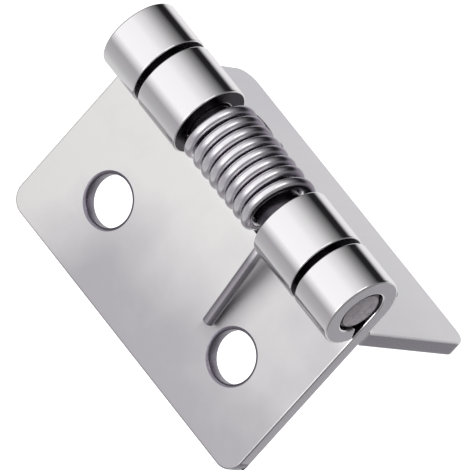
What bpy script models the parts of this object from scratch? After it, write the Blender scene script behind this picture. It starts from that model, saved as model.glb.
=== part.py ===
"""Spring butt hinge: two leaves rolled from sheet, a pin and a torsion spring wound round it.

Frame: +Z runs up the pin, +Y is the outward normal of the fixed leaf's mounting face, and +X runs
from the pin to the fixed leaf's outer edge. The origin is on that mounting face, midway between
its two screw holes. All lengths are in metres and all angles in degrees.
"""

import math

import bmesh
import bpy
from mathutils import Vector

# Driving dimensions.
LEAF_HEIGHT = 0.0380
LEAF_REACH = 0.0227  # pin axis to a leaf's outer edge
SHEET = 0.00175
BARREL_RADIUS = 0.00425
LEAF_CORNER_RADIUS = 0.0020
HOLE_RADIUS = 0.0030
HOLE_REACH = 0.0145  # pin axis to the screw holes
HOLE_SPACING = 0.0212
PIN_GAP = 0.00015
PIN_RECESS = 0.0002  # each pin end below the barrel's end
PIN_CHAMFER = 0.00025
REST_ANGLE = 90.0  # between the leaves, folded back until their notches touch
STOP_GAP = 0.00025

# Knuckles along the pin, measured from the lower end of the leaves.
OUTER_KNUCKLE = 0.0053
INNER_KNUCKLE_START = 0.0060
INNER_KNUCKLE_END = 0.0122

# Torsion spring.
WIRE_RADIUS = 0.0006
COIL_RADIUS = 0.0033  # to the middle of the wire
COIL_PITCH = 0.001345
COIL_TURNS = 8
COIL_OFFSET = Vector((-0.00020, -0.00010, 0.0))  # the legs push the coil against the pin
COIL_LOW_Z = -0.00563
LEG_BEND_RADIUS = 0.0016
LEG_END_REACH = 0.0140
LEG_END_GAP = 0.00015
LEG_SLOPE = 8.0
UPPER_END_RISE = 0.0008  # the coil's end turns open up by this much towards the knuckles
LOWER_END_DROP = 0.0003
END_TURN_SWEEP = 270.0
LEG_SKEW = 0.00045  # along the pin, from the coil to a leg's end

# Values worked out from them.
BORE_RADIUS = BARREL_RADIUS - SHEET
PIN_RADIUS = BORE_RADIUS - PIN_GAP
NOTCH_REACH = BARREL_RADIUS + STOP_GAP
HALF_HEIGHT = LEAF_HEIGHT / 2
PIN_AXIS = Vector((-HOLE_REACH, -BARREL_RADIUS, 0.0))

# Mesh fineness.
ARC_STEP = 7.5
HOLE_SIDES = 48
WIRE_SIDES = 10
COIL_STEP = 15.0
CUT_MARGIN = 0.001

STEEL = {"color": (0.62, 0.61, 0.63, 1.0), "roughness": 0.28}
BARREL_STEEL = {"color": (0.70, 0.69, 0.71, 1.0), "roughness": 0.16}
SPRING_STEEL = {"color": (0.66, 0.64, 0.67, 1.0), "roughness": 0.20}


def clear_scene():
    """Remove every object that the file opened with."""
    for item in list(bpy.data.objects):
        bpy.data.objects.remove(item, do_unlink=True)


def steel_material(name, finish):
    """Return a metal material with the finish's colour and roughness."""
    material = bpy.data.materials.new(name)
    material.use_nodes = True
    shader = material.node_tree.nodes["Principled BSDF"]
    shader.inputs["Base Color"].default_value = finish["color"]
    shader.inputs["Roughness"].default_value = finish["roughness"]
    shader.inputs["Metallic"].default_value = 1.0
    return material


def add_object(name, mesh):
    """Link a new object with this mesh to the scene."""
    item = bpy.data.objects.new(name, mesh)
    bpy.context.scene.collection.objects.link(item)
    return item


def finish_object(item, material):
    """Give an object its material and smooth shading with sharp corners kept."""
    item.data.materials.append(material)
    item.data.shade_smooth()
    item.data.set_sharp_from_angle(angle=math.radians(30))


def polar(radius, degrees):
    """Return the point at this radius and angle in the XY plane."""
    angle = math.radians(degrees)
    return Vector((radius * math.cos(angle), radius * math.sin(angle)))


def arc(centre, radius, start, end):
    """Return points on an arc from start to end, both included."""
    count = max(2, math.ceil(abs(end - start) / ARC_STEP))
    return [centre + polar(radius, start + (end - start) * step / count) for step in range(count + 1)]


def prism(name, outline, low, high, axis="Z"):
    """Return a closed mesh: an outline pushed along an axis between two positions."""
    shape = bmesh.new()
    if axis == "Z":
        ends = [[shape.verts.new((p.x, p.y, z)) for p in outline] for z in (low, high)]
    else:
        ends = [[shape.verts.new((p.x, y, p.y)) for p in outline] for y in (low, high)]
    count = len(outline)
    shape.faces.new(ends[0])
    shape.faces.new(ends[1])
    for index in range(count):
        following = (index + 1) % count
        shape.faces.new((ends[0][index], ends[0][following], ends[1][following], ends[1][index]))
    bmesh.ops.recalc_face_normals(shape, faces=shape.faces)
    mesh = bpy.data.meshes.new(name)
    shape.to_mesh(mesh)
    shape.free()
    return mesh


def barrel_outline():
    """Return the rectangle that a leaf's curl is cut away in, seen along the pin."""
    far = BARREL_RADIUS + CUT_MARGIN
    corners = ((-far, -far), (NOTCH_REACH, -far), (NOTCH_REACH, far), (-far, far))
    return [Vector(corner) for corner in corners]


def leaf_profile():
    """Return the rolled sheet's outline, seen along the pin: a flat plate and its curl."""
    centre = Vector((0.0, 0.0))
    tip_height = BORE_RADIUS - PIN_GAP
    tip_angle = 360.0 + math.degrees(math.asin(tip_height / BARREL_RADIUS))
    outer = arc(centre, BARREL_RADIUS, 90.0, tip_angle)
    inner = arc(centre, BORE_RADIUS, tip_angle, 90.0)
    plate_end = [Vector((LEAF_REACH, BORE_RADIUS)), Vector((LEAF_REACH, BARREL_RADIUS))]
    return outer + inner + plate_end


def corner_outline(sign):
    """Return the scrap outside a leaf's rounded corner, in X and Z, above or below."""
    centre = Vector((LEAF_REACH - LEAF_CORNER_RADIUS, HALF_HEIGHT - LEAF_CORNER_RADIUS))
    scrap = arc(centre, LEAF_CORNER_RADIUS, 90.0, 0.0)
    far_x = LEAF_REACH + CUT_MARGIN
    far_z = HALF_HEIGHT + CUT_MARGIN
    scrap += [Vector((far_x, centre.y)), Vector((far_x, far_z)), Vector((centre.x, far_z))]
    return [Vector((point.x, sign * point.y)) for point in scrap]


def hole_outline(sign):
    """Return a screw hole's outline in X and Z, above or below the middle."""
    centre = Vector((HOLE_REACH, sign * HOLE_SPACING / 2))
    return [centre + polar(HOLE_RADIUS, 360.0 * side / HOLE_SIDES) for side in range(HOLE_SIDES)]


def subtract(target, cutter):
    """Cut one object from another with an exact Boolean modifier, and hide the cutter."""
    cut = target.modifiers.new(cutter.name, "BOOLEAN")
    cut.operation = "DIFFERENCE"
    cut.solver = "EXACT"
    cut.object = cutter
    cutter.parent = target
    cutter.display_type = "WIRE"
    cutter.hide_render = True


def build_leaf(name, notches, back_side, material):
    """Return a leaf: the rolled sheet with its notches, screw holes and round corners cut.

    notches holds the height ranges where the curl is cut away, and back_side is +1 or -1, the
    side of the sheet that its mounting face looks to.
    """
    profile = [Vector((point.x, back_side * point.y)) for point in leaf_profile()]
    leaf = add_object(name, prism(name, profile, -HALF_HEIGHT, HALF_HEIGHT))
    far = BARREL_RADIUS + CUT_MARGIN
    for index, (low, high) in enumerate(notches):
        cutter_name = f"{name}_notch_cutter_{index + 1}"
        subtract(leaf, add_object(cutter_name, prism(cutter_name, barrel_outline(), low, high)))
    for label, sign in (("upper", 1.0), ("lower", -1.0)):
        hole_name = f"{name}_{label}_hole_cutter"
        hole = prism(hole_name, hole_outline(sign), -far, far, axis="Y")
        subtract(leaf, add_object(hole_name, hole))
        corner_name = f"{name}_{label}_corner_cutter"
        corner = prism(corner_name, corner_outline(sign), -far, far, axis="Y")
        subtract(leaf, add_object(corner_name, corner))
    finish_object(leaf, material)
    return leaf


def build_pin(material):
    """Return the hinge pin, a round bar with chamfered ends."""
    half_length = HALF_HEIGHT - PIN_RECESS
    rings = (
        (PIN_RADIUS - PIN_CHAMFER, -half_length),
        (PIN_RADIUS, -half_length + PIN_CHAMFER),
        (PIN_RADIUS, half_length - PIN_CHAMFER),
        (PIN_RADIUS - PIN_CHAMFER, half_length),
    )
    sides = round(360.0 / ARC_STEP)
    shape = bmesh.new()
    loops = []
    for radius, height in rings:
        points = [polar(radius, 360.0 * side / sides) for side in range(sides)]
        loops.append([shape.verts.new((point.x, point.y, height)) for point in points])
    join_loops(shape, loops)
    return add_shape("hinge_pin", shape, material)


def join_loops(shape, loops):
    """Skin a row of vertex loops and cap its two ends."""
    for lower, upper in zip(loops, loops[1:]):
        count = len(lower)
        for index in range(count):
            following = (index + 1) % count
            shape.faces.new((lower[index], lower[following], upper[following], upper[index]))
    shape.faces.new(loops[0])
    shape.faces.new(loops[-1])
    bmesh.ops.recalc_face_normals(shape, faces=shape.faces)


def add_shape(name, shape, material):
    """Turn a bmesh into a finished object."""
    mesh = bpy.data.meshes.new(name)
    shape.to_mesh(mesh)
    shape.free()
    item = add_object(name, mesh)
    finish_object(item, material)
    return item


def leg_end():
    """Return where a leg's middle line ends, over the inner face of the leaf at +X."""
    return Vector((LEG_END_REACH, BORE_RADIUS - WIRE_RADIUS - LEG_END_GAP)) - COIL_OFFSET.xy


def leg_exit_angle():
    """Return the angle at which the wire leaves the coil.

    The bend's centre lies one bend radius outside the coil, so that the straight run, which
    leaves the bend at LEG_SLOPE, passes through the leg's end.
    """
    slope = math.radians(LEG_SLOPE)
    start = leg_end() - polar(LEG_BEND_RADIUS, LEG_SLOPE - 90.0)
    side_step = start.y * math.cos(slope) - start.x * math.sin(slope)
    return LEG_SLOPE + math.degrees(math.asin(side_step / (COIL_RADIUS + LEG_BEND_RADIUS)))


def leg_path(exit_height, end_height):
    """Return a spring leg's middle line, from the coil to its end on the leaf at +X.

    The wire leaves the coil, bends back outwards round a small arc and runs straight until it
    meets the leaf's inner face. The other leg is this one with X and Y swapped.
    """
    exit_angle = leg_exit_angle()
    centre = polar(COIL_RADIUS + LEG_BEND_RADIUS, exit_angle)
    bend = arc(centre, LEG_BEND_RADIUS, exit_angle + 180.0, LEG_SLOPE + 270.0)
    flat = bend + [leg_end()]
    steps = [(after - before).length for before, after in zip(flat, flat[1:])]
    total = sum(steps)
    path = []
    travelled = 0.0
    for point, step in zip(flat[1:], steps):
        travelled += step
        height = exit_height + (end_height - exit_height) * travelled / total
        path.append(Vector((point.x, point.y, height)))
    return path


def spring_path():
    """Return the middle line of the whole spring, from the moving leaf's leg to the fixed leaf's."""
    coil_height = COIL_PITCH * COIL_TURNS
    exit_angle = leg_exit_angle()
    start_angle = 90.0 - exit_angle
    sweep = 360.0 * COIL_TURNS + start_angle - exit_angle
    high_z = COIL_LOW_Z + coil_height + COIL_PITCH * (start_angle - exit_angle) / 360.0
    steps = round(sweep / COIL_STEP)
    coil = []
    for step in range(steps + 1):
        share = step / steps
        turned = sweep * share
        height = COIL_LOW_Z + (high_z - COIL_LOW_Z) * share
        height += UPPER_END_RISE * ease(1.0 - (sweep - turned) / END_TURN_SWEEP)
        height -= LOWER_END_DROP * ease(1.0 - turned / END_TURN_SWEEP)
        flat = polar(COIL_RADIUS, start_angle - turned)
        coil.append(Vector((flat.x, flat.y, height)))
    upper_leg = leg_path(coil[-1].z, coil[-1].z + LEG_SKEW)
    lower_leg = leg_path(coil[0].z, coil[0].z - LEG_SKEW)
    lower_leg = [Vector((point.y, point.x, point.z)) for point in reversed(lower_leg)]
    return [point + COIL_OFFSET for point in lower_leg + coil + upper_leg]


def ease(share):
    """Return 0 below 0, 1 above 1 and a smooth step between."""
    share = min(1.0, max(0.0, share))
    return share * share * (3.0 - 2.0 * share)


def build_spring(material):
    """Return the torsion spring, a round wire swept along its path."""
    path = spring_path()
    shape = bmesh.new()
    loops = []
    side_axis = Vector((0.0, 0.0, 1.0))
    for index, point in enumerate(path):
        before = path[max(index - 1, 0)]
        after = path[min(index + 1, len(path) - 1)]
        tangent = (after - before).normalized()
        side_axis = (side_axis - side_axis.dot(tangent) * tangent).normalized()
        other_axis = tangent.cross(side_axis)
        loop = []
        for side in range(WIRE_SIDES):
            offset = polar(WIRE_RADIUS, 360.0 * side / WIRE_SIDES)
            loop.append(shape.verts.new(point + side_axis * offset.x + other_axis * offset.y))
        loops.append(loop)
    join_loops(shape, loops)
    return add_shape("torsion_spring", shape, material)


def build_hinge():
    """Build every piece and place it on the pin's axis."""
    clear_scene()
    far = HALF_HEIGHT + CUT_MARGIN
    outer_end = HALF_HEIGHT - OUTER_KNUCKLE
    inner_start = HALF_HEIGHT - INNER_KNUCKLE_START
    inner_end = HALF_HEIGHT - INNER_KNUCKLE_END
    fixed = build_leaf("fixed_leaf", [(-outer_end, outer_end)], 1.0, steel_material("satin_steel", STEEL))
    moving = build_leaf(
        "moving_leaf",
        [(-far, -inner_start), (-inner_end, inner_end), (inner_start, far)],
        -1.0,
        steel_material("polished_steel", BARREL_STEEL),
    )
    moving.rotation_euler.z = math.radians(REST_ANGLE)
    pin = build_pin(steel_material("pin_steel", STEEL))
    spring = build_spring(steel_material("spring_steel", SPRING_STEEL))
    for piece in (fixed, moving, pin, spring):
        piece.location = PIN_AXIS


build_hinge()
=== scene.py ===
"""The looks of a spring butt hinge: two rolled leaves, a pin and a torsion spring, in a light tent.

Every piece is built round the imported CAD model's pin axis, in metres: +Z runs up the pin, +Y is the
outward normal of the fixed leaf's mounting face, and +X runs from the pin to that leaf's outer edge.
"""

import logging
import math
from collections.abc import Callable, Sequence
from dataclasses import dataclass
from enum import Enum, IntEnum

import bmesh
import bpy
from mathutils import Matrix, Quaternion, Vector

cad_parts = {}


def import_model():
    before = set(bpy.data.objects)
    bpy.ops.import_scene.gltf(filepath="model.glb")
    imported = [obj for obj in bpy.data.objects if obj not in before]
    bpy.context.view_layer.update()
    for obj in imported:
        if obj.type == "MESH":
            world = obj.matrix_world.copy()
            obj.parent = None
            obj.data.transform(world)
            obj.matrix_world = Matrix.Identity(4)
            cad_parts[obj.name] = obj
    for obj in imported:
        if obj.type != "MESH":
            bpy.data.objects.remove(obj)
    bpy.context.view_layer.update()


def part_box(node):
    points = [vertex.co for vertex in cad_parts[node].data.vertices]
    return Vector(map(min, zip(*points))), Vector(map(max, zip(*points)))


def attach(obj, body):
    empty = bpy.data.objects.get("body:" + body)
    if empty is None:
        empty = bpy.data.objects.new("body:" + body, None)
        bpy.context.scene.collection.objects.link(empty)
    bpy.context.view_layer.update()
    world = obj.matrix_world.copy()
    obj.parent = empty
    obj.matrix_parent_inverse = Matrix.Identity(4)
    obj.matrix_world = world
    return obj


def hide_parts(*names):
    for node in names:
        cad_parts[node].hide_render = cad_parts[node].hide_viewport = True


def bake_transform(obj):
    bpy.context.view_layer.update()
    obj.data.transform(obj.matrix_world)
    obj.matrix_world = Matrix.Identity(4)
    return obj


MM = 0.001
LOG = logging.getLogger("hinge")

# Mesh attributes of the spring: the place round and along the wire, how far onto a leg it is, and how far
# onto the coil's side with painted shade.
WIRE_PLACE = "wire_place"
LEG_SHARE = "leg_share"
SHADED_SIDE_SHARE = "shaded_side_share"

Point = tuple[float, float, float]


class Body(Enum):
    """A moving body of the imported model."""

    FIXED = "fixed_side"
    MOVING = "moving_side"


class Node(Enum):
    """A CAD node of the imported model."""

    FIXED_LEAF = "fixed_leaf"
    MOVING_LEAF = "moving_leaf"
    PIN = "hinge_pin"
    SPRING = "torsion_spring"


class Slot(Enum):
    """A material slot of the record."""

    LEAF = "leaf_steel"
    PIN = "pin_steel"
    SPRING = "spring_steel"


class LeafFinish(IntEnum):
    """Where each finish goes on a leaf, in the order of the leaf's materials."""

    SHEET = 0
    CUT_EDGE = 1
    BARREL_END = 2
    INNER_END = 3
    HOLE_WALL = 4


class Push(Enum):
    """The direction that a flat outline is pushed along to make a solid."""

    ALONG_PIN = "Z"
    THROUGH_SHEET = "Y"


# ---------------------------------------------------------------------------------------------
# Shared mesh and shader helpers
# ---------------------------------------------------------------------------------------------


def to_linear(hex_colour: str) -> tuple[float, float, float, float]:
    """Turn an sRGB hex colour into linear values.

    Args:
        hex_colour: six hex digits after a hash sign.

    Returns:
        Linear red, green and blue, and an alpha of 1.
    """
    digits = hex_colour.lstrip("#")
    shares = [int(digits[start : start + 2], 16) / 255 for start in (0, 2, 4)]
    linear = [share / 12.92 if share <= 0.04045 else ((share + 0.055) / 1.055) ** 2.4 for share in shares]
    return (*linear, 1.0)


def add_node(
    tree: bpy.types.NodeTree,
    kind: str,
    settings: dict[str, object] | None = None,
    inputs: dict[str | int, object] | None = None,
) -> bpy.types.Node:
    """Add a shader node with its settings, values and links.

    Args:
        tree: the node tree that gets the node.
        kind: the node's type name.
        settings: properties of the node itself.
        inputs: for each input, a value or the output socket to link to it.

    Returns:
        The new node.
    """
    node = tree.nodes.new(kind)
    for name, value in (settings or {}).items():
        setattr(node, name, value)
    for name, value in (inputs or {}).items():
        if isinstance(value, bpy.types.NodeSocket):
            tree.links.new(value, node.inputs[name])
        else:
            node.inputs[name].default_value = value
    return node


def new_material(name: str) -> tuple[bpy.types.Material, bpy.types.NodeTree]:
    """Make a material with an empty node tree.

    Args:
        name: the material's name.

    Returns:
        The material and its tree.
    """
    material = bpy.data.materials.new(name)
    material.use_nodes = True
    material.node_tree.nodes.clear()
    return material, material.node_tree


def polar(radius: float, degrees: float) -> Vector:
    """Return the point at this radius and angle in the XY plane."""
    angle = math.radians(degrees)
    return Vector((radius * math.cos(angle), radius * math.sin(angle)))


def arc(centre: Vector, radius: float, start: float, end: float, step: float) -> list[Vector]:
    """Return the points of an arc, both ends included.

    Args:
        centre: the arc's centre.
        radius: its radius.
        start: the angle of its first point, in degrees.
        end: the angle of its last point, in degrees.
        step: the largest angle between two points.

    Returns:
        The points, in order.
    """
    count = max(2, math.ceil(abs(end - start) / step))
    return [centre + polar(radius, start + (end - start) * index / count) for index in range(count + 1)]


def ease(share: float) -> float:
    """Return 0 below 0, 1 above 1 and a smooth step between."""
    share = min(1.0, max(0.0, share))
    return share * share * (3.0 - 2.0 * share)


def add_object(name: str, shape: bmesh.types.BMesh) -> bpy.types.Object:
    """Turn a bmesh into an object in the scene.

    Args:
        name: the object's name.
        shape: the bmesh, which is freed.

    Returns:
        The new object.
    """
    bmesh.ops.recalc_face_normals(shape, faces=shape.faces)
    mesh = bpy.data.meshes.new(name)
    shape.to_mesh(mesh)
    shape.free()
    piece = bpy.data.objects.new(name, mesh)
    bpy.context.scene.collection.objects.link(piece)
    return piece


def prism(name: str, outline: Sequence[Vector], low: float, high: float, push: Push) -> bpy.types.Object:
    """Make a closed solid from a flat outline.

    Args:
        name: the object's name.
        outline: the outline's points, in X and Y along the pin, or in X and Z through the sheet.
        low: where the solid starts along its push direction.
        high: where it ends.
        push: the push direction.

    Returns:
        The solid.
    """
    shape = bmesh.new()
    if push is Push.ALONG_PIN:
        ends = [[shape.verts.new((p.x, p.y, place)) for p in outline] for place in (low, high)]
    else:
        ends = [[shape.verts.new((p.x, place, p.y)) for p in outline] for place in (low, high)]
    for end in ends:
        shape.faces.new(end)
    for index in range(len(outline)):
        after = (index + 1) % len(outline)
        shape.faces.new((ends[0][index], ends[0][after], ends[1][after], ends[1][index]))
    return add_object(name, shape)


def skin(shape: bmesh.types.BMesh, loops: Sequence[Sequence[bmesh.types.BMVert]]) -> None:
    """Join a row of vertex loops with quads and close both ends.

    Args:
        shape: the bmesh that holds the loops.
        loops: the loops, in order, all with the same number of vertices.
    """
    for lower, upper in zip(loops, loops[1:]):
        for index in range(len(lower)):
            after = (index + 1) % len(lower)
            shape.faces.new((lower[index], lower[after], upper[after], upper[index]))
    shape.faces.new(loops[0])
    shape.faces.new(loops[-1])


def carve(piece: bpy.types.Object, cutters: Sequence[bpy.types.Object]) -> None:
    """Cut several solids out of a piece and keep the result as its mesh.

    Args:
        piece: the piece to cut.
        cutters: the solids to take away, which are removed afterwards.
    """
    for cutter in cutters:
        cut = piece.modifiers.new(cutter.name, "BOOLEAN")
        cut.operation = "DIFFERENCE"
        cut.solver = "EXACT"
        cut.object = cutter
    graph = bpy.context.evaluated_depsgraph_get()
    mesh = bpy.data.meshes.new_from_object(piece.evaluated_get(graph))
    piece.modifiers.clear()
    piece.data = mesh
    for cutter in cutters:
        bpy.data.objects.remove(cutter, do_unlink=True)


# ---------------------------------------------------------------------------------------------
# Finishes
# ---------------------------------------------------------------------------------------------


@dataclass(frozen=True)
class RolledStainless:
    """Cold-rolled stainless steel sheet (304), satin on the plate and polished bright on the curls.

    The eye gets a pale, faintly streaked grey on the flat plate that mirrors only softly, and a
    bright, sharp mirror round the barrel, with no visible line where one turns into the other.
    """

    name: str
    painted_near_colour: str = "#DDDCDB"
    painted_far_colour: str = "#B4B1B6"
    barrel_colour: str = "#E4E2E4"
    plate_roughness: float = 0.30
    gloss_swing: float = 0.015
    barrel_roughness: float = 0.12
    # Real rolling lines are about 0.02 mm apart, which is too fine to show, so these are coarser.
    line_spacing: float = 0.14 * MM
    line_length: float = 9.0 * MM
    cloud_size: float = 7.0 * MM
    # The plate carries painted light and shade: its colour runs from the near colour, by the pin and at
    # its lower end, to the far colour towards its outer and upper parts.
    painted_tone_reach: tuple[float, float] = (8.0 * MM, 20.0 * MM)
    painted_tone_height: tuple[float, float] = (-17.0 * MM, -5.0 * MM)
    painted_upper_height: tuple[float, float] = (-4.0 * MM, 14.0 * MM)
    painted_upper_share: float = 0.45
    cloud_share: float = 0.25
    # A painted shade and reflection of the spring's leg: a darker, rougher mark along the leg's upper
    # side.
    leg_shade_colour: str = "#7D7981"
    leg_shade_share: float = 0.42
    leg_shade_roughness: float = 0.75
    leg_shade_start: tuple[float, float] = (5.5 * MM, 5.9 * MM)
    leg_shade_fade: tuple[float, float] = (10.4 * MM, 6.6 * MM)
    leg_shade_reach: tuple[float, float] = (16.4 * MM, 13.0 * MM)
    buffed_reach: float = 3.0 * MM
    plate_reach: float = 6.0 * MM
    line_depth: float = 0.0004 * MM

    def painted_tone(self, tree: bpy.types.NodeTree, place: bpy.types.NodeSocket) -> bpy.types.NodeSocket:
        """Work out the plate's painted light and shade: more of the far colour towards its outer and
        upper parts, in soft random clouds.

        Args:
            tree: the material's node tree.
            place: the place on the leaf.

        Returns:
            The share of the far colour, from 0 to 1.
        """
        parts = add_node(tree, "ShaderNodeSeparateXYZ", inputs={0: place}).outputs
        outward, upward, upper_share = (
            add_node(
                tree,
                "ShaderNodeMapRange",
                {"interpolation_type": "SMOOTHSTEP"},
                {"Value": parts[axis], "From Min": span[0], "From Max": span[1]},
            ).outputs["Result"]
            for axis, span in (("X", self.painted_tone_reach), ("Z", self.painted_tone_height), ("Z", self.painted_upper_height))
        )
        far_share, upper_share = (
            add_node(tree, "ShaderNodeMath", {"operation": "MULTIPLY"}, {0: first, 1: second}).outputs[0]
            for first, second in ((outward, upward), (upper_share, self.painted_upper_share))
        )
        far_share = add_node(tree, "ShaderNodeMath", {"operation": "MAXIMUM"}, {0: far_share, 1: upper_share}).outputs[0]
        clouds = add_node(
            tree,
            "ShaderNodeTexNoise",
            inputs={"Vector": place, "Scale": 1 / self.cloud_size, "Detail": 4.0, "Roughness": 0.55},
        ).outputs["Fac"]
        cloudy = add_node(
            tree,
            "ShaderNodeMapRange",
            inputs={
                "Value": clouds,
                "From Min": 0.35,
                "From Max": 0.65,
                "To Min": -self.cloud_share / 2,
                "To Max": self.cloud_share / 2,
            },
        ).outputs["Result"]
        return add_node(
            tree,
            "ShaderNodeMath",
            {"operation": "ADD", "use_clamp": True},
            {0: far_share, 1: cloudy},
        ).outputs[0]

    def painted_leg_shade(
        self,
        tree: bpy.types.NodeTree,
        place: bpy.types.NodeSocket,
        on_plate: bpy.types.NodeSocket,
    ) -> bpy.types.NodeSocket:
        """Work out the painted shade and reflection of the spring's leg on the plate beside it.

        Args:
            tree: the material's node tree.
            place: the place on the leaf.
            on_plate: 1 on the plate and 0 on the barrel.

        Returns:
            The share of painted shade, from 0 to its full share.
        """
        parts = add_node(tree, "ShaderNodeSeparateXYZ", inputs={0: place}).outputs
        share = on_plate
        nearness = [
            add_node(
                tree,
                "ShaderNodeMapRange",
                {"interpolation_type": "SMOOTHSTEP"},
                {
                    "Value": parts[axis],
                    "From Min": min(span),
                    "From Max": max(span),
                    "To Min": float(span[0] > span[1]),
                    "To Max": float(span[0] < span[1]),
                },
            ).outputs["Result"]
            for axis, span in (("Z", self.leg_shade_start), ("Z", self.leg_shade_fade), ("X", self.leg_shade_reach))
        ]
        for factor in (*nearness, self.leg_shade_share):
            share = add_node(
                tree,
                "ShaderNodeMath",
                {"operation": "MULTIPLY"},
                {0: share, 1: factor},
            ).outputs[0]
        return share

    def make(self) -> bpy.types.Material:
        """Build the material.

        Returns:
            The material.
        """
        material, tree = new_material(self.name)
        place = add_node(tree, "ShaderNodeTexCoord").outputs["Object"]
        along_plate = add_node(tree, "ShaderNodeSeparateXYZ", inputs={0: place}).outputs["X"]
        on_plate = add_node(
            tree,
            "ShaderNodeMapRange",
            {"interpolation_type": "SMOOTHSTEP"},
            {"Value": along_plate, "From Min": self.buffed_reach, "From Max": self.plate_reach},
        ).outputs["Result"]
        stretch = (1 / self.line_length, 1 / self.line_length, 1 / self.line_spacing)
        stretched = add_node(tree, "ShaderNodeMapping", inputs={"Vector": place, "Scale": stretch})
        lines = add_node(
            tree,
            "ShaderNodeTexNoise",
            inputs={"Vector": stretched.outputs[0], "Scale": 1.0, "Detail": 3.0, "Roughness": 0.6},
        ).outputs["Fac"]
        # Painted shade and reflection of the spring's leg on the plate.
        painted_shade = self.painted_leg_shade(tree, place, on_plate)
        # The first mix paints the plate's light and shade, the second the painted shade and reflection of
        # the spring's leg.
        colour = to_linear(self.painted_near_colour)
        for share, next_colour in (
            (self.painted_tone(tree, place), self.painted_far_colour),
            (painted_shade, self.leg_shade_colour),
        ):
            colour = add_node(
                tree,
                "ShaderNodeMix",
                {"data_type": "RGBA"},
                {0: share, 6: colour, 7: to_linear(next_colour)},
            ).outputs[2]
        colour = add_node(
            tree,
            "ShaderNodeMix",
            {"data_type": "RGBA"},
            {0: on_plate, 6: to_linear(self.barrel_colour), 7: colour},
        ).outputs[2]
        plate_gloss = add_node(
            tree,
            "ShaderNodeMapRange",
            inputs={
                "Value": lines,
                "From Min": 0.3,
                "From Max": 0.7,
                "To Min": self.plate_roughness - self.gloss_swing,
                "To Max": self.plate_roughness + self.gloss_swing,
            },
        ).outputs["Result"]
        plate_gloss = add_node(
            tree,
            "ShaderNodeMix",
            {"data_type": "FLOAT"},
            {0: painted_shade, 2: plate_gloss, 3: self.leg_shade_roughness},
        ).outputs[0]
        roughness = add_node(
            tree,
            "ShaderNodeMix",
            {"data_type": "FLOAT"},
            {0: on_plate, 2: self.barrel_roughness, 3: plate_gloss},
        ).outputs[0]
        relief = add_node(
            tree,
            "ShaderNodeBump",
            inputs={"Strength": on_plate, "Distance": self.line_depth, "Height": lines},
        ).outputs["Normal"]
        shader = add_node(
            tree,
            "ShaderNodeBsdfPrincipled",
            inputs={"Base Color": colour, "Metallic": 1.0, "Roughness": roughness, "Normal": relief},
        )
        add_node(tree, "ShaderNodeOutputMaterial", inputs={"Surface": shader.outputs[0]})
        return material


@dataclass(frozen=True)
class ShearedEdge:
    """The blanked edge of stainless sheet, burnished and torn by the press tool.

    The eye gets a darker, duller band than the sheet's faces, with short grooves that run through its
    thickness. Faced knuckle ends are paler; punched hole walls are darker, partly with painted shade, and
    knuckle ends inside the barrel are painted dark as shade.
    """

    name: str
    bright_colour: str = "#9C97A0"
    dull_colour: str = "#837D88"
    roughness: float = 0.30
    # Shear grooves are about 0.05 mm apart, drawn at four times that to show.
    groove_spacing: float = 0.2 * MM
    groove_depth: float = 0.004 * MM

    def make(self) -> bpy.types.Material:
        """Build the material.

        Returns:
            The material.
        """
        material, tree = new_material(self.name)
        place = add_node(tree, "ShaderNodeTexCoord").outputs["Object"]
        grooves = add_node(
            tree,
            "ShaderNodeTexNoise",
            inputs={"Vector": place, "Scale": 1 / self.groove_spacing, "Detail": 4.0, "Roughness": 0.6},
        ).outputs["Fac"]
        colour = add_node(
            tree,
            "ShaderNodeMix",
            {"data_type": "RGBA"},
            {0: grooves, 6: to_linear(self.bright_colour), 7: to_linear(self.dull_colour)},
        ).outputs[2]
        roughness = add_node(
            tree,
            "ShaderNodeMapRange",
            inputs={
                "Value": grooves,
                "From Min": 0.3,
                "From Max": 0.7,
                "To Min": self.roughness - 0.06,
                "To Max": self.roughness + 0.06,
            },
        ).outputs["Result"]
        relief = add_node(
            tree,
            "ShaderNodeBump",
            inputs={"Strength": 0.6, "Distance": self.groove_depth, "Height": grooves},
        ).outputs["Normal"]
        shader = add_node(
            tree,
            "ShaderNodeBsdfPrincipled",
            inputs={"Base Color": colour, "Metallic": 1.0, "Roughness": roughness, "Normal": relief},
        )
        add_node(tree, "ShaderNodeOutputMaterial", inputs={"Surface": shader.outputs[0]})
        return material


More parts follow.
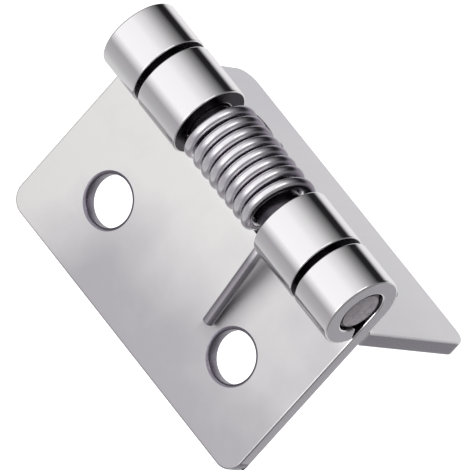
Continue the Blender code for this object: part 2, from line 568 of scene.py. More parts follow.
@dataclass(frozen=True)
class CutBar:
    """Ground stainless bar, cropped to length.

    The eye gets a smooth grey side, and ends with faint rings and a duller, mottled middle.
    """

    name: str
    bright_colour: str = "#B4AEB4"
    dull_colour: str = "#857E87"
    roughness: float = 0.28
    ring_spacing: float = 0.22 * MM
    mottle_size: float = 0.5 * MM
    ring_depth: float = 0.003 * MM

    def make(self) -> bpy.types.Material:
        """Build the material.

        Returns:
            The material.
        """
        material, tree = new_material(self.name)
        place = add_node(tree, "ShaderNodeTexCoord").outputs["Object"]
        rings = add_node(
            tree,
            "ShaderNodeTexWave",
            {"wave_type": "RINGS", "rings_direction": "Z"},
            {"Vector": place, "Scale": 0.314 / self.ring_spacing, "Distortion": 2.0, "Detail": 2.0},
        ).outputs["Fac"]
        mottle = add_node(
            tree,
            "ShaderNodeTexNoise",
            inputs={"Vector": place, "Scale": 1 / self.mottle_size, "Detail": 5.0, "Roughness": 0.6},
        ).outputs["Fac"]
        colour = add_node(
            tree,
            "ShaderNodeMix",
            {"data_type": "RGBA"},
            {0: mottle, 6: to_linear(self.bright_colour), 7: to_linear(self.dull_colour)},
        ).outputs[2]
        roughness = add_node(
            tree,
            "ShaderNodeMapRange",
            inputs={
                "Value": mottle,
                "From Min": 0.3,
                "From Max": 0.7,
                "To Min": self.roughness - 0.06,
                "To Max": self.roughness + 0.10,
            },
        ).outputs["Result"]
        relief = add_node(
            tree,
            "ShaderNodeBump",
            inputs={"Strength": 0.5, "Distance": self.ring_depth, "Height": rings},
        ).outputs["Normal"]
        shader = add_node(
            tree,
            "ShaderNodeBsdfPrincipled",
            inputs={"Base Color": colour, "Metallic": 1.0, "Roughness": roughness, "Normal": relief},
        )
        add_node(tree, "ShaderNodeOutputMaterial", inputs={"Surface": shader.outputs[0]})
        return material


@dataclass(frozen=True)
class DrawnWire:
    """Hard-drawn stainless spring wire (302), pulled bright through a die.

    The eye gets a glossy grey round wire with fine lines that follow it round the coil, duller legs,
    where the winding tool gripped them, and painted shade, darker and purplish, on the coil's side away
    from both leaves.
    """

    name: str
    bright_colour: str = "#EFEDF0"
    dull_colour: str = "#D2CDD5"
    gripped_colour: str = "#A39EA6"
    shaded_side_colour: str = "#857D8B"
    roughness: float = 0.24
    # Die lines are about 0.01 mm apart, drawn coarser round the wire to show.
    lines_round: float = 9.0
    line_length: float = 6.0 * MM
    line_depth: float = 0.0015 * MM

    def make(self) -> bpy.types.Material:
        """Build the material.

        Returns:
            The material.
        """
        material, tree = new_material(self.name)
        place = add_node(tree, "ShaderNodeAttribute", {"attribute_name": WIRE_PLACE}).outputs["Vector"]
        stretch = (self.lines_round / 2, self.lines_round / 2, 1 / self.line_length)
        stretched = add_node(tree, "ShaderNodeMapping", inputs={"Vector": place, "Scale": stretch})
        lines = add_node(
            tree,
            "ShaderNodeTexNoise",
            inputs={"Vector": stretched.outputs[0], "Scale": 1.0, "Detail": 3.0, "Roughness": 0.6},
        ).outputs["Fac"]
        # The coil's side share carries painted shade.
        on_leg, on_shaded_side = (
            add_node(tree, "ShaderNodeAttribute", {"attribute_name": name}).outputs["Fac"]
            for name in (LEG_SHARE, SHADED_SIDE_SHARE)
        )
        colour = to_linear(self.bright_colour)
        for share, next_colour in (
            (lines, self.dull_colour),
            (on_leg, self.gripped_colour),
            (on_shaded_side, self.shaded_side_colour),
        ):
            colour = add_node(
                tree,
                "ShaderNodeMix",
                {"data_type": "RGBA"},
                {0: share, 6: colour, 7: to_linear(next_colour)},
            ).outputs[2]
        roughness = add_node(
            tree,
            "ShaderNodeMapRange",
            inputs={
                "Value": lines,
                "From Min": 0.3,
                "From Max": 0.7,
                "To Min": self.roughness - 0.04,
                "To Max": self.roughness + 0.05,
            },
        ).outputs["Result"]
        relief = add_node(
            tree,
            "ShaderNodeBump",
            inputs={"Strength": 0.5, "Distance": self.line_depth, "Height": lines},
        ).outputs["Normal"]
        shader = add_node(
            tree,
            "ShaderNodeBsdfPrincipled",
            inputs={"Base Color": colour, "Metallic": 1.0, "Roughness": roughness, "Normal": relief},
        )
        add_node(tree, "ShaderNodeOutputMaterial", inputs={"Surface": shader.outputs[0]})
        return material


# ---------------------------------------------------------------------------------------------
# The hinge's pieces
# ---------------------------------------------------------------------------------------------


@dataclass(frozen=True)
class BarrelSizes:
    """The sizes that every piece on the pin shares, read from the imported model."""

    axis: Vector
    radius: float
    half_height: float
    leaf_reach: float
    sheet: float = 1.75 * MM

    @property
    def bore(self) -> float:
        """The radius inside the curls."""
        return self.radius - self.sheet

    @classmethod
    def from_frame(cls) -> "BarrelSizes":
        """Work the sizes out from the fixed leaf's box.

        Returns:
            The sizes.
        """
        low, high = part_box(Node.FIXED_LEAF.value)
        radius = (high.y - low.y) / 2
        axis = Vector((low.x + radius, high.y - radius, (low.z + high.z) / 2))
        return cls(axis, radius, (high.z - low.z) / 2, high.x - axis.x)


@dataclass
class RolledLeaf:
    """A leaf pressed from sheet: a flat plate, two screw holes, and knuckles curled round the pin.

    It is built lying along +X with its pin axis at the origin, then turned about the pin.
    """

    node: Node
    body: Body
    sizes: BarrelSizes
    notches: Sequence[tuple[float, float]]
    back_side: float
    turn: float
    finishes: Sequence[bpy.types.Material]
    corner_radius: float = 2.0 * MM
    hole_radius: float = 2.64 * MM
    hole_reach: float = 14.5 * MM
    hole_spacing: float = 21.2 * MM
    curl_gap: float = 0.15 * MM
    notch_clearance: float = 0.15 * MM
    rim_rounding: float = 0.36 * MM
    end_rounding: float = 0.24 * MM
    edge_rounding: float = 0.18 * MM
    curl_step: float = 2.5
    corner_step: float = 5.0
    hole_step: float = 3.75
    cut_margin: float = 1.0 * MM
    sliver: float = 0.001 * MM
    # Faces that turn less than the flat angle are one face, and edges past the sharp angle are rounded.
    flat_angle: float = 0.5
    sharp_angle: float = 40.0
    rounding_steps: int = 3

    def profile(self) -> list[Vector]:
        """Return the rolled sheet's outline, seen along the pin.

        Returns:
            The outline's points in X and Y.
        """
        bore = self.sizes.bore
        centre = Vector((0.0, 0.0))
        tip = 360.0 + math.degrees(math.asin((bore - self.curl_gap) / self.sizes.radius))
        outer = arc(centre, self.sizes.radius, 90.0, tip, self.curl_step)
        inner = arc(centre, bore, tip, 90.0, self.curl_step)
        end = [Vector((self.sizes.leaf_reach, bore)), Vector((self.sizes.leaf_reach, self.sizes.radius))]
        return [Vector((point.x, self.back_side * point.y)) for point in outer + inner + end]

    def notch_cutter(self, low: float, high: float) -> bpy.types.Object:
        """Return the block that takes the curl away between two heights.

        Args:
            low: the notch's lower end along the pin.
            high: its upper end.

        Returns:
            The block.
        """
        far = self.sizes.radius + self.cut_margin
        reach = self.sizes.radius + self.notch_clearance
        corners = [Vector(p) for p in ((-far, -far), (reach, -far), (reach, far), (-far, far))]
        return prism("notch_cutter", corners, low, high, Push.ALONG_PIN)

    def hole_cutter(self, sign: float) -> bpy.types.Object:
        """Return the bar that cuts a screw hole, above (+1) or below (-1) the middle."""
        far = self.sizes.radius + self.cut_margin
        centre = Vector((self.hole_reach, sign * self.hole_spacing / 2))
        outline = arc(centre, self.hole_radius, 0.0, 360.0, self.hole_step)[:-1]
        return prism("hole_cutter", outline, -far, far, Push.THROUGH_SHEET)

    def corner_cutter(self, sign: float) -> bpy.types.Object:
        """Return the scrap outside a rounded corner, above (+1) or below (-1) the middle.

        Args:
            sign: which end of the leaf.

        Returns:
            The scrap's solid.
        """
        far = self.sizes.radius + self.cut_margin
        radius = self.corner_radius
        centre = Vector((self.sizes.leaf_reach - radius, self.sizes.half_height - radius))
        outline = arc(centre, radius, 90.0, 0.0, self.corner_step)
        far_x = self.sizes.leaf_reach + self.cut_margin
        far_z = self.sizes.half_height + self.cut_margin
        outline += [Vector((far_x, centre.y)), Vector((far_x, far_z)), Vector((centre.x, far_z))]
        outline = [Vector((point.x, sign * point.y)) for point in outline]
        return prism("corner_cutter", outline, -far, far, Push.THROUGH_SHEET)

    def is_sheet_surface(self, face: bmesh.types.BMFace) -> bool:
        """Tell the sheet's two surfaces from its cut edges.

        Args:
            face: a face of the carved leaf.

        Returns:
            True on the plate's faces and on the inside and outside of the curls.
        """
        centre = face.calc_center_median()
        on_plate = centre.x > 0 and centre.y * self.back_side > self.sizes.bore - self.curl_gap / 2
        surface = Vector((0.0, 1.0, 0.0)) if on_plate else Vector((centre.x, centre.y, 0.0)).normalized()
        return abs(face.normal.dot(surface)) > 0.7

    def is_plate_face(self, face: bmesh.types.BMFace) -> bool:
        """Return True on the plate's two flat faces, which start just past the pin's axis."""
        return abs(face.normal.y) > 0.9999 and face.calc_center_median().x > self.curl_gap

    def finish_of(self, face: bmesh.types.BMFace) -> LeafFinish:
        """Choose a face's finish.

        Args:
            face: a face of the carved leaf.

        Returns:
            The finish.
        """
        if self.is_sheet_surface(face):
            return LeafFinish.SHEET
        centre = face.calc_center_median()
        if self.is_at_hole(centre):
            return LeafFinish.HOLE_WALL
        if abs(face.normal.z) < 0.5 or centre.x > self.sizes.radius:
            return LeafFinish.CUT_EDGE
        at_end = abs(centre.z) > self.sizes.half_height - self.curl_gap
        return LeafFinish.BARREL_END if at_end else LeafFinish.INNER_END

    def is_end_rim(self, edge: bmesh.types.BMEdge) -> bool:
        """Return True for an outer edge at one of the barrel's two ends."""
        reach = min(vert.co.xy.length for vert in edge.verts)
        height = min(abs(vert.co.z) for vert in edge.verts)
        at_end = height > self.sizes.half_height - self.curl_gap
        return at_end and abs(reach - self.sizes.radius) < self.curl_gap

    def is_at_hole(self, place: Vector) -> bool:
        """Return True for a place on the wall or rim of a screw hole."""
        hole_z = math.copysign(self.hole_spacing / 2, place.z)
        away = math.hypot(place.x - self.hole_reach, place.z - hole_z)
        return away < self.hole_radius + self.curl_gap

    def round_holes(self, shape: bmesh.types.BMesh) -> None:
        """Round the rims of the screw holes in their walls' finish, which is darkened with painted shade.

        Args:
            shape: the leaf's mesh, with its finishes already chosen.
        """
        rim_finishes = {LeafFinish.SHEET, LeafFinish.HOLE_WALL}
        rims = [
            edge
            for edge in shape.edges
            if all(self.is_at_hole(vert.co) for vert in edge.verts)
            and {face.material_index for face in edge.link_faces} == rim_finishes
        ]
        bmesh.ops.bevel(
            shape,
            geom=rims,
            offset=self.rim_rounding,
            segments=self.rounding_steps,
            profile=0.5,
            affect="EDGES",
            clamp_overlap=False,
            material=LeafFinish.HOLE_WALL,
        )

    def mark(self, leaf: bpy.types.Object) -> None:
        """Give each face its finish and each sharp edge its rounding.

        Args:
            leaf: the carved leaf.
        """
        shape = bmesh.new()
        shape.from_mesh(leaf.data)
        # Join what the cuts left split within each flat face.
        bmesh.ops.dissolve_degenerate(shape, dist=self.sliver, edges=shape.edges[:])
        bmesh.ops.dissolve_limit(
            shape,
            angle_limit=math.radians(self.flat_angle),
            verts=shape.verts[:],
            edges=shape.edges[:],
        )
        for face in shape.faces:
            face.material_index = self.finish_of(face)
        self.round_holes(shape)
        for face in shape.faces:
            face.smooth = not self.is_plate_face(face)
        weight = shape.edges.layers.float.new("bevel_weight_edge")
        sharp = math.radians(self.sharp_angle)
        for edge in shape.edges:
            if len(edge.link_faces) == 2 and edge.calc_face_angle(0.0) > sharp:
                rounding = self.end_rounding if self.is_end_rim(edge) else self.edge_rounding
                edge[weight] = rounding / self.end_rounding
        shape.to_mesh(leaf.data)
        shape.free()

    def build(self) -> bpy.types.Object:
        """Build the leaf, dress it and hand it to its body.

        Returns:
            The leaf.
        """
        half = self.sizes.half_height
        leaf = prism(f"rolled_{self.node.value}", self.profile(), -half, half, Push.ALONG_PIN)
        cutters = [self.notch_cutter(low, high) for low, high in self.notches]
        cutters += [make(sign) for make in (self.hole_cutter, self.corner_cutter) for sign in (-1.0, 1.0)]
        carve(leaf, cutters)
        leaf.data.materials.clear()
        for finish in self.finishes:
            leaf.data.materials.append(finish)
        self.mark(leaf)
        rounding = leaf.modifiers.new("edge_rounding", "BEVEL")
        rounding.limit_method = "WEIGHT"
        rounding.width = self.end_rounding
        rounding.segments = self.rounding_steps
        rounding.use_clamp_overlap = False
        rounding.material = LeafFinish.SHEET
        flats = leaf.modifiers.new("flat_faces", "WEIGHTED_NORMAL")
        flats.mode = "FACE_AREA"
        flats.weight = 100
        flats.keep_sharp = True
        leaf.location = self.sizes.axis
        leaf.rotation_euler.z = math.radians(self.turn)
        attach(leaf, self.body.value)
        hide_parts(self.node.value)
        return leaf


@dataclass
class HingePin:
    """The ground bar through all four knuckles, with chamfered ends."""

    sizes: BarrelSizes
    finishes: Sequence[bpy.types.Material]
    gap: float = 0.09 * MM
    recess: float = 0.2 * MM
    chamfer: float = 0.34 * MM
    crown: float = 0.05 * MM
    # The spring's legs push the pin against the back of its bore.
    rattle: Vector = Vector((0.02 * MM, 0.07 * MM, 0.0))
    sides: int = 120

    def rings(self) -> list[tuple[float, float]]:
        """Return the radius and height of each ring, from the lower end to the upper.

        Returns:
            The rings.
        """
        radius = self.sizes.bore - self.gap
        end = self.sizes.half_height - self.recess
        upper = [
            (radius, end - self.chamfer),
            (radius - self.chamfer * 0.4, end - self.chamfer * 0.5),
            (radius - self.chamfer, end - self.crown),
            (radius * 0.6, end - self.crown * 0.3),
            (radius * 0.25, end),
        ]
        lower = [(reach, -height) for reach, height in reversed(upper)]
        return lower + upper

    def build(self) -> bpy.types.Object:
        """Build the pin, dress it and hand it to the fixed body.

        Returns:
            The pin.
        """
        shape = bmesh.new()
        loops = []
        for radius, height in self.rings():
            points = arc(Vector((0.0, 0.0)), radius, 0.0, 360.0, 360.0 / self.sides)[:-1]
            loops.append([shape.verts.new((point.x, point.y, height)) for point in points])
        skin(shape, loops)
        pin = add_object("ground_pin", shape)
        pin.data.shade_smooth()
        pin.data.set_sharp_from_angle(angle=math.radians(25))
        for finish in self.finishes:
            pin.data.materials.append(finish)
        for face in pin.data.polygons:
            face.material_index = 1 if abs(face.normal.z) > 0.9 else 0
        pin.location = self.sizes.axis + self.rattle
        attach(pin, Body.FIXED.value)
        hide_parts(Node.PIN.value)
        return pin


@dataclass
class TorsionSpring:
    """One wire: a leg on the moving leaf, a close left-hand coil, and a leg on the fixed leaf."""

    sizes: BarrelSizes
    finish: bpy.types.Material
    wire_radius: float = 0.59 * MM
    coil_radius: float = 3.3 * MM
    pitch: float = 1.345 * MM
    turns: int = 8
    offset: Vector = Vector((-0.20 * MM, -0.10 * MM))
    low_z: float = -5.63 * MM
    bend_radius: float = 1.6 * MM
    leg_reach: float = 14.0 * MM
    leg_gap: float = 0.03 * MM
    leg_slope: float = 8.0
    upper_rise: float = 0.8 * MM
    lower_drop: float = 0.3 * MM
    end_sweep: float = 270.0
    leg_skew: float = 0.45 * MM
    coil_step: float = 4.0
    bend_step: float = 6.0
    wire_sides: int = 28
    end_chamfer: float = 0.12 * MM
    blend_reach: float = 5.3 * MM
    dull_span: tuple[float, float] = (4.2 * MM, 6.2 * MM)
    # The side of the coil away from both leaves is painted darker and purplish, as shade.
    shade_azimuth: float = 155.0
    shade_span: tuple[float, float] = (1.4 * MM, 3.9 * MM)

    def leg_end(self) -> Vector:
        """Return where a leg's middle line ends, over the inner face of the leaf at +X."""
        height = self.sizes.bore - self.wire_radius - self.leg_gap
        return Vector((self.leg_reach, height)) - self.offset

    def exit_angle(self) -> float:
        """Return the angle at which the wire leaves the coil.

        The bend's centre lies one bend radius outside the coil, so that the straight run, which
        leaves the bend at the leg's slope, passes through the leg's end.

        Returns:
            The angle in degrees.
        """
        slope = math.radians(self.leg_slope)
        start = self.leg_end() - polar(self.bend_radius, self.leg_slope - 90.0)
        side_step = start.y * math.cos(slope) - start.x * math.sin(slope)
        return self.leg_slope + math.degrees(math.asin(side_step / (self.coil_radius + self.bend_radius)))

    def leg(self, exit_height: float, end_height: float) -> list[Vector]:
        """Return a leg's middle line, from the coil to its end on the leaf at +X.

        Args:
            exit_height: where it leaves the coil, along the pin.
            end_height: where it ends, along the pin.

        Returns:
            The points, without the one on the coil.
        """
        angle = self.exit_angle()
        centre = polar(self.coil_radius + self.bend_radius, angle)
        bend = arc(centre, self.bend_radius, angle + 180.0, self.leg_slope + 270.0, self.bend_step)
        straight = self.leg_end() - bend[-1]
        flat = bend + [bend[-1] + straight * share / 12 for share in range(1, 13)]
        steps = [(after - before).length for before, after in zip(flat, flat[1:])]
        points = []
        travelled = 0.0
        for point, step in zip(flat[1:], steps):
            travelled += step
            height = exit_height + (end_height - exit_height) * travelled / sum(steps)
            points.append(Vector((point.x, point.y, height)))
        return points

    def path(self) -> list[Vector]:
        """Return the middle line of the whole wire, from the moving leaf's leg to the fixed leaf's.

        Returns:
            The points, measured from the pin axis.
        """
        angle = self.exit_angle()
        start = 90.0 - angle
        sweep = 360.0 * self.turns + start - angle
        rise = self.pitch * sweep / 360.0
        count = round(sweep / self.coil_step)
        coil = []
        for index in range(count + 1):
            turned = sweep * index / count
            height = self.low_z + rise * index / count
            height += self.upper_rise * ease(1.0 - (sweep - turned) / self.end_sweep)
            height -= self.lower_drop * ease(1.0 - turned / self.end_sweep)
            flat = polar(self.coil_radius, start - turned)
            coil.append(Vector((flat.x, flat.y, height)))
        upper = self.leg(coil[-1].z, coil[-1].z + self.leg_skew)
        lower = self.leg(coil[0].z, coil[0].z - self.leg_skew)
        lower = [Vector((point.y, point.x, point.z)) for point in reversed(lower)]
        shift = Vector((self.offset.x, self.offset.y, 0.0))
        return [point + shift for point in lower + coil + upper]

    def build(self) -> bpy.types.Object:
        """Build the spring and dress it.

        Returns:
            The spring.
        """
        path = self.path()
        first = (path[1] - path[0]).normalized()
        last = (path[-1] - path[-2]).normalized()
        path.insert(1, path[0] + first * self.end_chamfer)
        path.insert(-1, path[-1] - last * self.end_chamfer)
        shape = bmesh.new()
        place = shape.verts.layers.float_vector.new(WIRE_PLACE)
        leg_share = shape.verts.layers.float.new(LEG_SHARE)
        shaded_side_share = shape.verts.layers.float.new(SHADED_SIDE_SHARE)
        shade_side = polar(1.0, self.shade_azimuth)
        loops = []
        side_axis = Vector((0.0, 0.0, 1.0))
        travelled = 0.0
        for index, point in enumerate(path):
            before, after = path[max(index - 1, 0)], path[min(index + 1, len(path) - 1)]
            tangent = (after - before).normalized()
            side_axis = (side_axis - side_axis.dot(tangent) * tangent).normalized()
            other_axis = tangent.cross(side_axis)
            travelled += (point - before).length
            cropped = index in (0, len(path) - 1)
            dulled = ease((point.xy.length - self.dull_span[0]) / (self.dull_span[1] - self.dull_span[0]))
            radius = self.wire_radius - (self.end_chamfer if cropped else 0.0)
            loop = []
            for side in range(self.wire_sides):
                around = polar(1.0, 360.0 * side / self.wire_sides)
                vert = shape.verts.new(point + (side_axis * around.x + other_axis * around.y) * radius)
                vert[place] = (around.x, around.y, travelled)
                vert[leg_share] = dulled
                aside = vert.co.xy.dot(shade_side.xy) - self.shade_span[0]
                vert[shaded_side_share] = ease(aside / (self.shade_span[1] - self.shade_span[0]))
                loop.append(vert)
            loops.append(loop)
        skin(shape, loops)
        spring = add_object("drawn_wire_spring", shape)
        spring.data.shade_smooth()
        spring.data.set_sharp_from_angle(angle=math.radians(35))
        spring.data.materials.append(self.finish)
        spring.location = self.sizes.axis
        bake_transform(spring)
        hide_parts(Node.SPRING.value)
        return spring


# ---------------------------------------------------------------------------------------------
# The studio
# ---------------------------------------------------------------------------------------------


@dataclass(frozen=True)
class Card:
    """One stretch of the light tent's wall: where it is round the pin, and how brightly it glows."""

    azimuth: float
    glow: float
    colour: str = "#FFFFFF"


@dataclass(frozen=True)
class Softbox:
    """A small bright panel inside the tent, facing the hinge."""

    azimuth: float
    elevation: float
    width: float
    height: float
    glow: float


@dataclass
class Studio:
    """A light tent of pale and dark cloth round the hinge, over a plain pale floor."""

    centre: Vector
    floor_drop: float = 0.15
    floor_size: float = 6.0
    tent_radius: float = 0.25
    tent_step: float = 4.0
    world_glow: float = 1.0
    full_glow: float = 1.6
    crown_glow: float = 0.28
    crown_from: float = 24.0
    crown_to: float = 40.0
    base_glow: float = 0.30
    base_from: float = -50.0
    base_to: float = -66.0
    box_radius: float = 0.22
    softboxes: Sequence[Softbox] = (
        Softbox(-150.0, 12.0, 0.12, 0.08, 2.2),
        Softbox(-74.0, 8.0, 0.10, 0.09, 2.2),
    )
    # Round the tent's wall: dark cloth behind the barrel, white in front, grey at the side. The last
    # card is the first one again, which closes the ring.
    cards: Sequence[Card] = (
        Card(-180.0, 0.35),
        Card(-150.0, 0.85),
        Card(-120.0, 1.15),
        Card(-68.0, 1.20),
        Card(-40.0, 0.50, "#F7F3F9"),
        Card(-10.0, 0.55),
        Card(20.0, 0.75),
        Card(68.0, 0.75),
        Card(105.0, 1.00),
        Card(120.0, 0.90),
        Card(135.0, 0.02, "#E6DFEC"),
        Card(155.0, 0.02, "#E6DFEC"),
        Card(180.0, 0.35),
    )

    def floor_finish(self) -> bpy.types.Material:
        """Return matt white paper that glows a little, so that it stays an even white.

        Returns:
            The floor's material.
        """
        material, tree = new_material("white_paper")
        place = add_node(tree, "ShaderNodeTexCoord").outputs["Object"]
        fibre = add_node(
            tree,
            "ShaderNodeTexNoise",
            inputs={"Vector": place, "Scale": 400.0, "Detail": 2.0},
        ).outputs["Fac"]
        relief = add_node(
            tree,
            "ShaderNodeBump",
            inputs={"Strength": 0.05, "Distance": 0.1 * MM, "Height": fibre},
        )
        shader = add_node(
            tree,
            "ShaderNodeBsdfPrincipled",
            inputs={
                "Base Color": to_linear("#FAFAFA"),
                "Roughness": 0.9,
                "Normal": relief.outputs["Normal"],
                "Emission Color": to_linear("#FFFFFF"),
                "Emission Strength": 0.5,
            },
        )
        add_node(tree, "ShaderNodeOutputMaterial", inputs={"Surface": shader.outputs[0]})
        return material

    def build_floor(self) -> bpy.types.Object:
        """Lay the floor below the hinge.

        Returns:
            The floor.
        """
        half = self.floor_size / 2
        corners = ((-half, -half), (half, -half), (half, half), (-half, half))
        shape = bmesh.new()
        shape.faces.new([shape.verts.new((x, y, -self.floor_drop)) for x, y in corners])
        floor = add_object("paper_floor", shape)
        floor.data.materials.append(self.floor_finish())
        floor.visible_glossy = False
        return floor

    def tent_finish(self) -> bpy.types.Material:
        """Return lit cloth whose glow changes round the tent and towards its top and bottom.

        Returns:
            The tent's material.
        """
        material, tree = new_material("lit_cloth")
        place = add_node(tree, "ShaderNodeTexCoord").outputs["Object"]
        outward = add_node(tree, "ShaderNodeVectorMath", {"operation": "NORMALIZE"}, {0: place})
        parts = add_node(tree, "ShaderNodeSeparateXYZ", inputs={0: outward.outputs[0]})
        azimuth = add_node(
            tree,
            "ShaderNodeMath",
            {"operation": "ARCTAN2"},
            {0: parts.outputs["Y"], 1: parts.outputs["X"]},
        )
        share = add_node(
            tree,
            "ShaderNodeMapRange",
            inputs={"Value": azimuth.outputs[0], "From Min": -math.pi, "From Max": math.pi},
        )
        ramp = add_node(tree, "ShaderNodeValToRGB", inputs={"Fac": share.outputs["Result"]})
        stops = ramp.color_ramp.elements
        while len(stops) < len(self.cards):
            stops.new(0.5)
        for stop, card in zip(stops, sorted(self.cards, key=lambda card: card.azimuth)):
            stop.position = (card.azimuth + 180.0) / 360.0
            tint = to_linear(card.colour)
            stop.color = (*(channel * card.glow / self.full_glow for channel in tint[:3]), 1.0)
        colour = ramp.outputs["Color"]
        zones = (
            (self.crown_from, self.crown_to, self.crown_glow),
            (self.base_from, self.base_to, self.base_glow),
        )
        for start, end, zone_glow in zones:
            reached = add_node(
                tree,
                "ShaderNodeMapRange",
                {"interpolation_type": "SMOOTHSTEP"},
                {
                    "Value": parts.outputs["Z"],
                    "From Min": math.sin(math.radians(start)),
                    "From Max": math.sin(math.radians(end)),
                },
            )
            grey = zone_glow / self.full_glow
            colour = add_node(
                tree,
                "ShaderNodeMix",
                {"data_type": "RGBA"},
                {0: reached.outputs["Result"], 6: colour, 7: (grey, grey, grey, 1.0)},
            ).outputs[2]
        glow = add_node(tree, "ShaderNodeEmission", inputs={"Color": colour, "Strength": self.full_glow})
        add_node(tree, "ShaderNodeOutputMaterial", inputs={"Surface": glow.outputs[0]})
        return material

    def build_tent(self) -> bpy.types.Object:
        """Hang the round tent about the hinge, seen only in its reflections.

        Returns:
            The tent.
        """
        shape = bmesh.new()
        loops = []
        for rise in arc(Vector((0.0, 0.0)), self.tent_radius, -90.0, 90.0, self.tent_step)[1:-1]:
            ring = arc(Vector((0.0, 0.0)), rise.x, 0.0, 360.0, self.tent_step)[:-1]
            loops.append([shape.verts.new((point.x, point.y, rise.y)) for point in ring])
        skin(shape, loops)
        tent = add_object("light_tent", shape)
        tent.location = self.centre
        tent.data.materials.append(self.tent_finish())
        tent.visible_camera = False
        tent.visible_diffuse = False
        tent.visible_shadow = False
        return tent

    def build_softboxes(self) -> list[bpy.types.Object]:
        """Hang the bright panels, seen only in their reflections.

        Returns:
            The panels.
        """
        panels = []
        for index, box in enumerate(self.softboxes):
            azimuth, elevation = math.radians(box.azimuth), math.radians(box.elevation)
            outward = Vector(
                (
                    math.cos(azimuth) * math.cos(elevation),
                    math.sin(azimuth) * math.cos(elevation),
                    math.sin(elevation),
                )
            )
            across = Vector((-math.sin(azimuth), math.cos(azimuth), 0.0)) * box.width / 2
            upward = outward.cross(across.normalized()) * box.height / 2
            middle = outward * self.box_radius
            corners = (middle - across - upward, middle + across - upward)
            corners += (middle + across + upward, middle - across + upward)
            shape = bmesh.new()
            shape.faces.new([shape.verts.new(corner) for corner in corners])
            panel = add_object(f"softbox_{index + 1}", shape)
            panel.location = self.centre
            material, tree = new_material(f"lit_panel_{index + 1}")
            glow = add_node(
                tree,
                "ShaderNodeEmission",
                inputs={"Color": to_linear("#FFFFFF"), "Strength": box.glow},
            )
            add_node(tree, "ShaderNodeOutputMaterial", inputs={"Surface": glow.outputs[0]})
            panel.data.materials.append(material)
            panel.visible_camera = False
            panel.visible_diffuse = False
            panel.visible_shadow = False
            panels.append(panel)
        return panels

    def build_sky(self) -> None:
        """Light everything above the tent with an even pale glow."""
        world = bpy.data.worlds.new("studio_ceiling")
        world.use_nodes = True
        world.node_tree.nodes.clear()
        glow = add_node(
            world.node_tree,
            "ShaderNodeBackground",
            inputs={"Color": to_linear("#FFFFFF"), "Strength": self.world_glow},
        )
        add_node(world.node_tree, "ShaderNodeOutputWorld", inputs={"Surface": glow.outputs[0]})
        bpy.context.scene.world = world
        bpy.context.scene.view_settings.view_transform = "Standard"


@dataclass(frozen=True)
class Viewpoint:
    """Where the camera stands: its direction round the hinge, its distance and its tilt."""

    target: Point = (-9.39 * MM, -4.62 * MM, 3.53 * MM)
    azimuth: float = -22.40
    elevation: float = 24.45
    tilt: float = 141.53
    distance: float = 1.1111
    lens: float = 882.5
    sensor: float = 36.0

    def build(self) -> bpy.types.Object:
        """Stand the camera and make it the scene's own.

        Returns:
            The camera.
        """
        data = bpy.data.cameras.new("long_lens")
        data.lens = self.lens
        data.sensor_width = self.sensor
        data.clip_start = self.distance / 100
        data.clip_end = self.distance * 20
        camera = bpy.data.objects.new("camera", data)
        azimuth, elevation = math.radians(self.azimuth), math.radians(self.elevation)
        back = Vector(
            (
                math.sin(azimuth) * math.cos(elevation),
                -math.cos(azimuth) * math.cos(elevation),
                math.sin(elevation),
            )
        )
        camera.location = Vector(self.target) + back * self.distance
        camera.rotation_mode = "QUATERNION"
        level = (-back).to_track_quat("-Z", "Y")
        camera.rotation_quaternion = level @ Quaternion((0.0, 0.0, 1.0), math.radians(self.tilt))
        bpy.context.scene.collection.objects.link(camera)
        bpy.context.scene.camera = camera
        return camera


# ---------------------------------------------------------------------------------------------
# Putting it together
# ---------------------------------------------------------------------------------------------


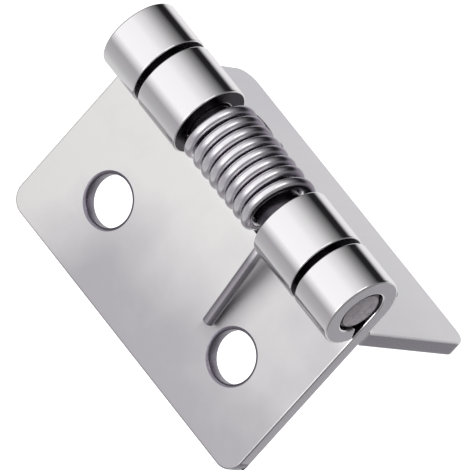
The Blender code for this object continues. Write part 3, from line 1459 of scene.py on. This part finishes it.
@dataclass
class SpringHinge:
    """The whole hinge."""

    sizes: BarrelSizes
    outer_knuckle: float = 5.3 * MM
    inner_start: float = 6.0 * MM
    inner_end: float = 12.2 * MM
    rest_angle: float = 90.0

    def makers(self) -> list[Callable[[], bpy.types.Object]]:
        """Return the build method of each piece, in order.

        Returns:
            The methods.
        """
        half = self.sizes.half_height
        far = half + 1.0 * MM
        edges = [
            ShearedEdge("sheared_stainless_edge").make(),
            ShearedEdge("faced_knuckle_end", "#CBC7CE", "#BCB7BF").make(),
        ]
        # The hole walls are sheared, and darker still with painted shade.
        punched = ShearedEdge("punched_hole_wall", "#8D8792", "#756F7B").make()
        # The knuckle ends inside the barrel are painted dark as shade, darkest on the moving leaf.
        inner_end_shade = ShearedEdge("shaded_inner_knuckle_end", "#645B67", "#4C444F").make()
        painted_shade = ShearedEdge("deep_shaded_inner_knuckle_end", "#38323B", "#2A252C").make()
        # Both leaves are the same sheet; their plate colours hold painted light and shade.
        fixed_sheet = RolledStainless("fixed_rolled_stainless_painted_tone").make()
        satin = RolledStainless("satin_rolled_stainless", "#CDCBD0", "#D7D5D9", leg_shade_share=0.0).make()
        fixed = RolledLeaf(
            Node.FIXED_LEAF,
            Body.FIXED,
            self.sizes,
            [(self.outer_knuckle - half, half - self.outer_knuckle)],
            1.0,
            0.0,
            [fixed_sheet, *edges, inner_end_shade, punched],
        )
        moving = RolledLeaf(
            Node.MOVING_LEAF,
            Body.MOVING,
            self.sizes,
            [
                (-far, self.inner_start - half),
                (self.inner_end - half, half - self.inner_end),
                (half - self.inner_start, far),
            ],
            -1.0,
            self.rest_angle,
            [satin, *edges, painted_shade, punched],
            rim_rounding=0.18 * MM,
            end_rounding=0.18 * MM,
        )
        # The pin's side is painted dark for the shade inside the barrel; its cropped ends keep the paler
        # finish.
        side = CutBar("shaded_ground_bar", "#5A555D", "#474249", 0.24).make()
        end = CutBar("cropped_bar_end").make()
        pin = HingePin(self.sizes, [side, end])
        spring = TorsionSpring(self.sizes, DrawnWire("drawn_spring_wire").make())
        return [fixed.build, moving.build, pin.build, spring.build]


def report(piece: bpy.types.Object) -> None:
    """Log a piece's name, size and finishes.

    Args:
        piece: the piece.
    """
    size = " x ".join(f"{side / MM:.1f}" for side in piece.dimensions)
    finishes = ", ".join(material.name for material in piece.data.materials)
    LOG.info("%s: %s mm, %d faces, %s", piece.name, size, len(piece.data.polygons), finishes)


def main() -> None:
    """Load the frame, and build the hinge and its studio."""
    logging.basicConfig(level=logging.INFO, format="%(name)s: %(message)s")
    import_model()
    hinge = SpringHinge(BarrelSizes.from_frame())
    for make in hinge.makers():
        report(make())
    studio = Studio(hinge.sizes.axis)
    studio.build_floor()
    studio.build_tent()
    studio.build_softboxes()
    studio.build_sky()
    Viewpoint().build()


if __name__ == "__main__":
    main()
